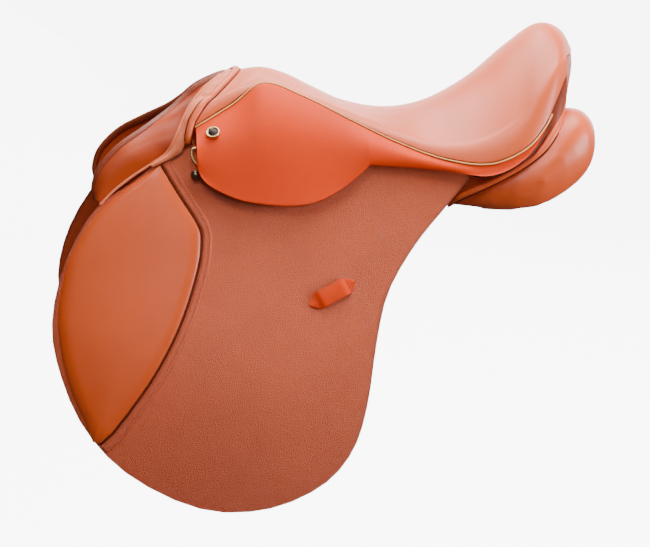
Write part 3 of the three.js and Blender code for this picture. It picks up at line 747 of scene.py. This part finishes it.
def seat():
    """The seat's leather, from the pommel to the rolled rear rim."""
    us = np.linspace(0, SEAT_END, 150)
    vs = np.linspace(-1, 1, 121)
    grid = seat_grid(us, vs)
    # the rear rim rolls under
    rim, before = grid[-1], grid[-3]
    onward = softened(rim - before, 60)
    across = softened(np.gradient(rim, axis=0), 20)
    out = np.cross(across, onward)
    out *= np.where((out * (rim - (100, 0, 60))).sum(1, keepdims=True) > 0, 1, -1)
    out = softened(out, 60)
    turns = np.linspace(0, math.radians(RIM_TURN), 9)[1:]
    rolled = [rim + onward * RIM_R * math.sin(t) - out * RIM_R * (1 - math.cos(t)) for t in turns]
    grid = np.concatenate([grid, np.array(rolled)])
    cover = sheet("seat_cover_leather", grid, SEAT_THICK, ["seat", "edge"], bevel=0.7)
    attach(cover, "saddle")
    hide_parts("seat_cover")


def seat_welt():
    """The piping between the seat and the skirt, its pale colour a painted highlight."""
    us = np.linspace(0, SKIRT_TIP + 0.012, 170)
    line, _, _ = edge_line(us, beyond=WELT_R + 0.6, lift=0.4)
    place(tube("left_seat_piping", line, PIPING_R, "welt", sides=8), "saddle",
          instead=("left_seat_welt",))


# ------------------------------------------------------------------ pommel
def pommel_lines():
    """Points along the seat's front rim, and the directions ahead of it and out of it."""
    vs = np.linspace(-0.985, 0.985, 121)
    grid = seat_grid(np.array([0.0, 0.015]), vs)
    rim = grid[0]
    across = np.gradient(rim, axis=0)
    across /= np.linalg.norm(across, axis=1, keepdims=True)
    ahead = grid[0] - grid[1]
    ahead -= across * (ahead * across).sum(1, keepdims=True)
    ahead /= np.linalg.norm(ahead, axis=1, keepdims=True)
    out = np.cross(across, ahead)
    out *= np.sign(out[:, 2:3])
    return rim, ahead, out


def pommel():
    """The roll along the seat's front rim, dark tubes of painted shadow in the seam and crease beside
    it, and the grained band ahead, paler as a painted sheen.
    """
    rim, ahead, out = pommel_lines()
    # the seam and the crease are dark tubes of painted shadow
    # name, distance ahead of the rim, radius, lift, finish
    parts = [("pommel_roll", 5.0, 3.9, 0.4, "seat"), ("pommel_seam_shadow", 0.9, 1.0, 0.1, "dark"),
             ("pommel_crease_shadow", 9.2, 0.8, 0.6, "dark")]
    for name, reach, r, lift, material in parts:
        line = rim + ahead * reach + out * lift
        foot = line[:1] + np.array([(-5.5, -6.0, -24.0), (-4.0, -4.6, -12.0)])
        other = foot[::-1] * (1, -1, 1)
        path = spline(np.vstack([foot, line, other]), np.linspace(0, 1, 200))
        piece = tube(name, path, r, material, sides=12)
        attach(piece, "saddle")
        if name == "pommel_roll":
            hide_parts("pommel_binding")
    # the grained band between that crease and the flap's binding, its paler leather a painted sheen
    crease = (rim + ahead * 9.0 + out * 0.2)[:61]
    crease = even(np.vstack([[(-285, -81, 51), (-264, -80, 60), (-251, -79, 68), (-247, -78, 78)],
                             crease]), 140)
    edge = even(spline([(-287, -79, 54), (-270, -76, 65), *HEAD_BINDING], np.linspace(0, 1, 160)), 140)
    steps = np.linspace(0, 1, 12)[None, :, None]
    band = crease[:, None] * (1 - steps) + edge[:, None] * steps
    band += normals_of(band) * 2.4 * np.sin(np.pi * steps)
    place(sheet("left_pommel_band", band, 2.0, ["band", "edge"], bevel=0.5), "saddle")


def binding():
    """The piping along the flap's top front edge, carried on up to the middle of the head."""
    x, z = (np.array(v, float) for v in zip(*FLAP_BINDING))
    low = np.stack([x, side_y(FLAP_OUT + 0.6, x, z), z], 1)
    near = np.vstack([low, HEAD_BINDING])
    path = spline(near, np.linspace(0, 1, 180))
    # the binding's paler band leather is a painted highlight
    place(tube("left_flap_binding", path, 1.7, "band", sides=10), bend=FLAP_BEND)


def facing_roll():
    """The dark roll that arches over the withers from one panel's tip to the other's."""
    far = [(x, -y, z) for x, y, z in FACING_ROLL[-2::-1]]
    path = spline(FACING_ROLL + far, np.linspace(0, 1, 200))
    share = np.abs(np.linspace(-1, 1, len(path)))
    roll = tube("front_arch_roll", path, 6.2 - 2.6 * share, "roll", sides=14)
    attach(roll, "saddle")
    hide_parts("facing_roll")


def span(name, first, second, bulge):
    """A leather face stretched between two lines, bulging outwards by so much along its length."""
    share = np.linspace(0, 1, 14)[None, :, None]
    face = first[:, None] * (1 - share) + second[:, None] * share
    away = np.array([-0.35, -0.9, 0.3])
    face += away * np.sin(np.pi * share) * np.asarray(bulge)[:, None, None]
    depth = np.clip((np.linspace(0, 1, len(first)) - 0.4) / 0.35, 0, 1)
    shadow = 0.85 * depth[:, None] * share[..., 0] ** 1.5
    return sheet(name, face, 2.0, ["facing"], bevel=0, rim=shadow)


def panel_facing():
    """The leather that spans from the front roll back under the flap and into the gullet."""
    roll = even(spline(FACING_ROLL, np.linspace(0, 1, 120)), 90)
    inner = even(spline([(-333, -66, -22), (-330, -67, 10), (-322, -66, 34), (-305, -62, 52),
                         (-280, -48, 70), (-258, -34, 84), (-240, -26, 100), (-222, -22, 118),
                         (-205, -10, 134)], np.linspace(0, 1, 120)), 90)
    place(span("left_gullet_facing", roll, inner, np.zeros(90)), "saddle")
    x, z = (np.array(v, float) for v in zip(*FLAP_BINDING))
    low = np.stack([x, side_y(FLAP_OUT - 2, x, z), z], 1)
    head = np.array(HEAD_BINDING) + (2, 2, -2)
    edge = even(spline(np.vstack([low, head]), np.linspace(0, 1, 120)), 90)
    swell = np.interp(np.linspace(0, 1, 90), [0, 0.3, 0.62, 0.8, 1], [3, 7, 3, -3, 0])
    place(span("left_front_facing", roll, edge, swell), "saddle")


# ------------------------------------------------------------------ skirt
def lobe_low(x):
    """Height of the skirt's lower edge at x, from the CAD lobe."""
    co = corners("left_skirt")
    low = {}
    for px, _, pz in co:
        key = round(px, 1)
        low[key] = min(low.get(key, 1e9), pz)
    xs = np.array(sorted(low))
    zs = np.array([low[k] for k in xs])
    return np.interp(x, xs, zs, left=zs[0], right=999)


def skirt():
    """The strip under the seat's edge and the lobe that hangs from it, as one evened sheet."""
    us = np.linspace(0, SKIRT_TIP, 170)
    high, _, _ = edge_line(us, beyond=2 * WELT_R + 0.4)
    taper = np.clip((us - TAPER_FROM) / (SKIRT_TIP - TAPER_FROM), 0, 1)[:, None] ** 1.3
    low = spline(SKIRT_LOW, us) * (1 - taper) + high * taper
    low[:, 2] = np.minimum(low[:, 2], high[:, 2] - 1)
    ws = np.linspace(0, 1, 34)
    columns = []
    for k, u in enumerate(us):
        part = low[k] + (high[k] - low[k]) * ws[:, None]
        part[:, 1] -= SKIRT_SWELL * np.sin(np.pi * ws) * math.sqrt(max(0, 1 - u / SWELL_END))
        drop = lobe_low(low[k, 0])
        if drop < low[k, 2] - 1.5:
            z = np.linspace(drop, low[k, 2], 22)[:-1]
            x = np.full_like(z, low[k, 0])
            y = side_y(SKIRT_OUT, x, z) + low[k, 1] - side_y(SKIRT_OUT, *low[k, ::2])
            part = np.vstack([np.stack([x, y, z], 1), part])
        columns.append(even(part, 56))
    grid = np.array(columns)
    for _ in range(SKIRT_PASSES):
        soft = grid[..., 1].copy()
        soft[1:-1, 1:-1] = (grid[:-2, 1:-1, 1] + grid[2:, 1:-1, 1] + grid[1:-1, :-2, 1]
                            + grid[1:-1, 2:, 1]) / 4
        soft[0, 1:-1] = (grid[0, :-2, 1] + grid[0, 2:, 1]) / 2
        soft[-1, 1:-1] = (grid[-1, :-2, 1] + grid[-1, 2:, 1]) / 2
        grid[..., 1] = soft
    piece = sheet("left_skirt_leather", grid, SKIRT_THICK, ["skirt", "edge"], bevel=0.7)
    place(piece, bend=SKIRT_BEND, instead=("left_skirt_top", "left_skirt"))


# ------------------------------------------------------------------ flap and knee pad
def flap():
    """The flap, from its head under the skirt to its lower edge."""
    turn = np.linspace(0, 1, 150)
    top, bottom = 74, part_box("left_flap")[0].z / MM + 0.15
    z = top + (bottom - top) * np.sin(turn * np.pi / 2)
    spans = extents(["left_flap_head", "left_flap"], z)
    s = (1 - np.cos(np.linspace(0, np.pi, 90))) / 2
    x = spans[:, :1] + (spans[:, 1:] - spans[:, :1]) * s[None, :]
    grid = on_flap(x, np.repeat(z[:, None], len(s), 1))
    border = np.clip(1 - np.minimum(s, 1 - s)[None, :] * (spans[:, 1:] - spans[:, :1]) / 5, 0, 1)
    # the rim darkens the flap's sides as worn edges, and its lower part as painted shade
    piece = sheet("left_flap_leather", grid, FLAP_THICK, ["flap", "edge"], bevel=0.9,
                  rim=np.maximum(painted_low_shade(grid[..., 2]), 0.6 * border))
    place(piece, bend=FLAP_BEND, instead=("left_flap_head", "left_flap"))


def pad_outline():
    """Heights down the knee pad, with its front and rear ends at each."""
    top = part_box("left_knee_pad_top")[1].z / MM - 0.2
    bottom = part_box("left_knee_pad")[0].z / MM + 0.2
    z = (top + bottom) / 2 + (top - bottom) / 2 * np.cos(np.linspace(0, np.pi, 140))
    return z, extents(["left_knee_pad_top", "left_knee_pad"], z)


def knee_pad():
    """The padded insert: a rolled edge and a slightly crowned middle."""
    z, spans = pad_outline()
    s = (1 - np.cos(np.linspace(0, np.pi, 80))) / 2
    width = (spans[:, 1:] - spans[:, :1])
    x = spans[:, :1] + width * s[None, :]
    zz = np.repeat(z[:, None], len(s), 1)
    side = np.minimum(s, 1 - s)[None, :] * width
    end = np.minimum(z[0] - z, z - z[-1])[:, None] * 0.7
    inset = np.minimum(side, end)
    roll = PAD_ROLL_RISE * np.sqrt(1 - (1 - np.clip(inset / PAD_ROLL, 0, 1)) ** 2)
    crown = PAD_CROWN_RISE * np.sin(np.clip(inset / PAD_CROWN, 0, 1) * np.pi / 2)
    height = 0.3 + roll + crown
    grid = on_flap(x, zz, height)
    # painted shade darkens the pad towards its bottom
    piece = sheet("left_knee_pad_calf", grid, 3.2, ["pad"], bevel=0, rim=0.7 * painted_low_shade(grid[..., 2]))
    place(piece, bend=FLAP_BEND, instead=("left_knee_pad_top", "left_knee_pad"), fill=0.7)


def pad_rear_line(offset):
    """The pad's rear edge from its top to its lower tip, moved out onto the flap by offset."""
    z, spans = pad_outline()
    line = np.stack([spans[:, 1], z], 1)
    along = np.gradient(line, axis=0)
    along /= np.linalg.norm(along, axis=1, keepdims=True)
    out = np.stack([-along[:, 1], along[:, 0]], 1)
    out *= np.where(out[:, :1] > 0, 1, -1)
    moved = line + out * offset
    return moved[3:-3]


def knee_border():
    """A dark tube of painted shadow in the crease, and the sewn strip behind the pad, darker lower down
    as painted shade, with two rows of stitches.
    """
    line = pad_rear_line(1.0)
    path = even(on_flap(line[:, 0], line[:, 1], 0.1), 160)
    # a dark tube in place of the crease's shadow: painted shadow
    place(tube("left_pad_crease_shadow", path, 1.3, "dark", sides=8), bend=FLAP_BEND)
    inner, outer = pad_rear_line(2.2), pad_rear_line(13.0)
    share = np.linspace(0, 1, 11)
    line = inner[:, None] + (outer - inner)[:, None] * share[None, :, None]
    height = 0.2 + 1.1 * (1 - (2 * share - 1) ** 6)
    grid = on_flap(line[..., 0], line[..., 1], np.repeat(height[None], len(line), 0))
    # painted shade darkens the strip towards its bottom
    piece = sheet("left_pad_border", grid, 1.0, ["flap"], bevel=0, rim=painted_low_shade(grid[..., 2]))
    place(piece, bend=FLAP_BEND)
    for k, offset in enumerate((4.6, 10.0)):
        line = pad_rear_line(offset)
        path = even(on_flap(line[:, 0], line[:, 1], 1.3), 400)
        row = stitches(f"left_border_stitch_{k + 1}", path, SIDE_OUT, spacing=3.6, size=2.5, r=0.45)
        place(row, bend=FLAP_BEND)


def keeper_point(a, w):
    """A place on the flap, a along the keeper from its middle and w across it."""
    x = KEEPER_X + a * math.cos(KEEPER_TURN) - w * math.sin(KEEPER_TURN)
    z = KEEPER_Z + a * math.sin(KEEPER_TURN) + w * math.cos(KEEPER_TURN)
    return x, z


def keeper():
    """The surcingle keeper: a strap with tapered ends, sewn down at both."""
    along = np.linspace(-KEEPER_HALF, KEEPER_HALF, 60)
    half = 9.5 * np.clip((KEEPER_HALF + 0.4 - np.abs(along)) / 10, 0.12, 1) ** 0.7
    across = np.linspace(-1, 1, 15)
    rise = 1.6 + 3.0 / (1 + np.exp((np.abs(along) - 17) / 1.6))
    x, z = keeper_point(along[:, None], half[:, None] * across[None, :])
    crown = rise[:, None] + 0.8 * (1 - across[None, :] ** 2)
    piece = sheet("left_keeper_strap", on_flap(x, z, crown), 2.0, ["skirt", "edge"], bevel=0.5)
    place(piece, "left_flap", instead=("left_flap_keeper",))
    for k, end in enumerate((-1, 1)):
        w = np.linspace(-6.5, 6.5, 12)
        row = on_flap(*keeper_point(end * KEEPER_SEWN, w), 2.6 + 0 * w)
        place(stitches(f"left_keeper_stitch_{k + 1}", row, SIDE_OUT, spacing=2.4, size=1.6),
              "left_flap")


# ------------------------------------------------------------------ panels
def stuffed(node, name, voxel=5.0, shrink=1.5, pressure=4.0, limit=6.0):
    """A flocked pad: the CAD solid's skin, blown up by a cloth simulation inside its cover."""
    obj = bpy.data.objects.new(name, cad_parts[node].data.copy())
    bpy.context.collection.objects.link(obj)
    obj.data.materials.clear()
    remesh = obj.modifiers.new("remesh", "REMESH")
    remesh.mode = "VOXEL"
    remesh.voxel_size = voxel * MM
    settle(obj)
    smooth = obj.modifiers.new("smooth", "SMOOTH")
    smooth.factor = 0.5
    smooth.iterations = 10
    settle(obj)
    rest = np.array([v.co for v in obj.data.vertices])
    start = rest - np.array([v.normal for v in obj.data.vertices]) * shrink * MM
    obj.data.vertices.foreach_set("co", start.astype(np.float32).ravel())
    sim = obj.modifiers.new("cloth", "CLOTH")
    sim.settings.use_pressure = True
    sim.settings.uniform_pressure_force = pressure
    sim.settings.quality = 4
    sim.settings.effector_weights.gravity = 0
    sim.settings.tension_stiffness = 30
    sim.settings.compression_stiffness = 30
    sim.settings.bending_stiffness = 3
    sim.point_cache.frame_start, sim.point_cache.frame_end = 1, SIM_FRAMES
    for step in range(1, SIM_FRAMES + 1):
        bpy.context.scene.frame_set(step)
    settle(obj)
    moved = np.array([v.co for v in obj.data.vertices]) - rest
    size = np.linalg.norm(moved, axis=1, keepdims=True)
    moved *= np.minimum(1, limit * MM / np.maximum(size, 1e-9))
    obj.data.vertices.foreach_set("co", (rest + moved).astype(np.float32).ravel())
    finer = obj.modifiers.new("subdivide", "SUBSURF")
    finer.levels = finer.render_levels = 1
    settle(obj)
    return obj


def panel():
    obj = stuffed("left_panel", "left_panel_leather")
    obj.data.materials.append(M["panel"])
    obj.data.polygons.foreach_set("use_smooth", np.ones(len(obj.data.polygons), bool))
    obj.data.attributes.new("rim", "FLOAT", "POINT")
    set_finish(obj, "panel")
    place(obj, "saddle", instead=("left_panel",), fill=0.8)


# the welt along the near panel's upper edge, carried on round the back of the cantle
PANEL_PIPING = [
    (58, -90, 0), (70, -99, 10), (89, -108, 21), (114, -113, 34), (139, -114, 48),
    (161, -113, 64), (177, -107, 82), (186, -98, 95), (192, -86, 107), (198, -72, 116),
    (203, -54, 123), (207, -30, 128), (209, 0, 130)]
PIPING_OUT = np.array([-0.5, -0.42, 0.75])   # away from the panel along its welt


def panel_piping():
    """The fat welt on the panel's upper edge, and a dark tube of painted shadow in the seam below it.
    """
    path = spline(PANEL_PIPING, np.linspace(0, 1, 130)) + PIPING_OUT * 1.6
    along = np.linspace(0, 1, len(path))
    radius = 2.4 + 2.6 * np.sin(np.pi * along) ** 0.6
    place(tube("left_panel_roll", path, radius, "panel", sides=14), "saddle")
    side = np.cross(np.gradient(path, axis=0), PIPING_OUT)
    side /= np.linalg.norm(side, axis=1, keepdims=True)
    side *= -np.sign(side[:, 2:3])
    seam = path + side * radius[:, None] * 0.95 - PIPING_OUT * 1.6
    # a dark tube of painted shadow along the seam
    place(tube("left_panel_seam_shadow", seam, 0.9, "dark", sides=6), "saddle")


def cantle_back():
    """The leather that closes the back of the seat down to the panels' welt."""
    side, _, _ = edge_line(np.linspace(0.80, SEAT_END, 40), beyond=-1.0, lift=-1.5)
    rim = seat_grid(np.array([SEAT_END]), np.linspace(-1, 0, 80))[0]
    upper = even(np.vstack([side, rim]), 120)
    away = (upper - (110, 0, 0)) * (1, 1, 0)
    away /= np.linalg.norm(away, axis=1, keepdims=True)
    upper = upper - away * 2.5 - (0, 0, 3)
    lower = even(spline(PANEL_PIPING[4:], np.linspace(0, 1, 120)), 120)
    share = np.linspace(0, 1, 16)[None, :, None]
    face = upper[:, None] * (1 - share) + lower[:, None] * share
    swell = np.interp(np.linspace(0, 1, 120), [0, 0.35, 1], [0, 2, 6])[:, None, None]
    face += away[:, None] * swell * np.sin(np.pi * share) ** 0.8
    shadow = np.interp(np.linspace(0, 1, 120), [0, 0.4, 0.55], [0.9, 0.9, 0])[:, None]
    shadow = shadow * (1 - share[..., 0]) ** 0.5
    place(sheet("left_cantle_back", face, 2.0, ["facing"], bevel=0, rim=shadow), "saddle")


# ------------------------------------------------------------------ fittings
def side_frame(layer, x, z):
    """A point of a side layer, with the rearward, upward and outward directions there."""
    out = SIDE_OUT
    rear = np.array([1, -YAW, 0]) / math.sqrt(1 + YAW ** 2)
    up = np.cross(out, rear)
    return np.array([x, side_y(layer, x, z), z]), rear, up, out


def box_middle(node):
    """The middle of a CAD node's box, in mm."""
    low, high = (np.array(corner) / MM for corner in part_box(node))
    return (low + high) / 2


def turned(name, profile, origin, rear, up, out, materials, kinds=None, sides=40):
    """A profile of (radius, height) points turned round the out direction."""
    turn = np.linspace(0, 2 * np.pi, sides, endpoint=False)
    profile = np.array(profile, float)
    ring = np.cos(turn)[:, None] * rear + np.sin(turn)[:, None] * up
    verts = origin + profile[:, None, :1] * ring[None] + profile[:, None, 1:] * out
    faces = grid_faces(len(profile), sides, wrap=True)
    indices = None if kinds is None else np.repeat(kinds, sides)
    return outward(mesh(name, verts.reshape(-1, 3), faces, materials, indices))


def head_nail():
    """A domed brass rim round a dark middle."""
    middle = box_middle("left_head_nail")
    co = corners("left_head_nail")
    _, _, axes = np.linalg.svd(co - co.mean(0))
    out = axes[2] * np.sign(-axes[2][1])
    rear = np.cross((0, 0, 1), out)
    rear /= np.linalg.norm(rear)
    up = np.cross(out, rear)
    profile = [(0.01, -1.2), (7.8, -1.2), (8.1, -0.2), (7.9, 0.9), (7.2, 1.4), (6.3, 1.1),
               (5.8, 0.3), (5.6, 0.2), (4.1, 0.8), (2.0, 1.1), (0.01, 1.2)]
    kinds = [0, 0, 0, 0, 0, 0, 0, 1, 1, 1]
    place(turned("left_nail_head", profile, middle, rear, up, out, ["brass", "nail"], kinds),
          "saddle", instead=("left_head_nail",))


def ball_stud():
    """A ball on a short neck over a flat foot."""
    middle = box_middle("left_ball_stud")
    _, rear, up, out = side_frame(FLAP_OUT, middle[0], middle[2])
    profile = [(0.01, -5.4), (4.4, -5.3), (4.6, -4.8), (2.8, -4.2), (2.6, -3.6)]
    for k in range(14):
        a = -0.9 + k * (0.9 + math.pi / 2) / 13
        profile.append((max(0.01, 5.9 * math.cos(a)), 0.1 + 5.3 * math.sin(a)))
    place(turned("left_ball_head", profile, middle, rear, up, out, ["gunmetal"]), "saddle",
          instead=("left_ball_stud",))


def dee():
    """A flat-topped ring with a rounded lower end."""
    origin, rear, up, _ = side_frame(DEE_OUT, DEE_X, DEE_Z)
    half, drop = 12, 20
    shape = [(-half, -4), (-half + 1, -0.8), (-half + 4, 0), (0, 0), (half - 4, 0),
             (half - 1, -0.8), (half, -4), (half - 1, -11), (half - 5, -17), (0, -drop),
             (5 - half, -17), (1 - half, -11), (-half, -4)]
    flat = spline([(x, y, 0) for x, y in shape], np.linspace(0, 1, 97))
    path = origin + flat[:, :1] * rear + flat[:, 1:2] * up
    place(tube("left_dee_ring", path, 1.6, "brass", sides=12, round_ends=False), "left_dee",
          instead=("left_dee",))


def frame_materials():
    """CAD pieces that keep their own shape get their finish here."""
    looks = {"tree": "wood", "head_plate": "steel", "seat_foam": "foam", "seat_webbing": "web",
             "front_girth_web": "web", "rear_girth_web": "web"}
    for side in ("left", "right"):
        for node in ("sweat_flap", "point_pocket", "front_billet", "middle_billet",
                     "rear_billet", "buckle_guard"):
            looks[f"{side}_{node}"] = "strap"
        for node in ("stirrup_bar", "bar_catch", "bar_hinge_pin"):
            looks[f"{side}_{node}"] = "steel"
        looks[f"{side}_dee_staple"] = "brass"
    for node, look in looks.items():
        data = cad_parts[node].data
        data.materials.clear()
        data.materials.append(M[look])


# ------------------------------------------------------------------ scene
camera()
studio()
backdrop()
frame_materials()
seat()
seat_welt()
pommel()
binding()
facing_roll()
panel_facing()
skirt()
flap()
knee_pad()
knee_border()
keeper()
panel()
panel_piping()
cantle_back()
head_nail()
ball_stud()
dee()
